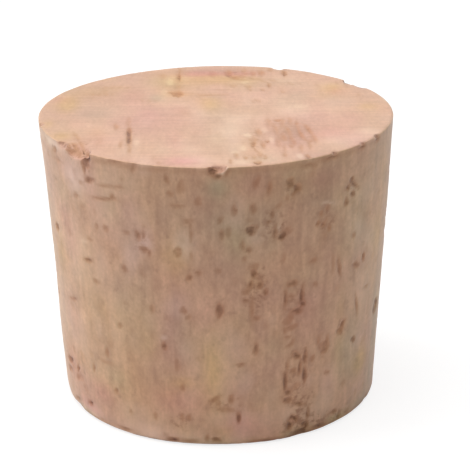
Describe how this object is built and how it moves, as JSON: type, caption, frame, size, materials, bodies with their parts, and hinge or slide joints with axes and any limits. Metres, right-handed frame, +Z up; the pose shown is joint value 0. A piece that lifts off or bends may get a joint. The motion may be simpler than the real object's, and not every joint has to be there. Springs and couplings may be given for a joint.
{
  "type": "tapered cork stopper",
  "caption": "Tapered plug of natural cork bark, wider at the top, with pores in its side and ends and small chips out of its edges.",
  "frame": {"origin": "middle of the small end, on the face that the stopper stands on", "axes": "+Z up along the stopper's axis, from the small end to the large end; -Y towards the front; the bark's layers lie across Y"},
  "size_m": [0.0458, 0.0458, 0.0381],
  "materials": {
    "natural_cork": "matte"
  },
  "bodies": {
    "root": {"stopper": "natural_cork"}
  },
  "joints": []
}
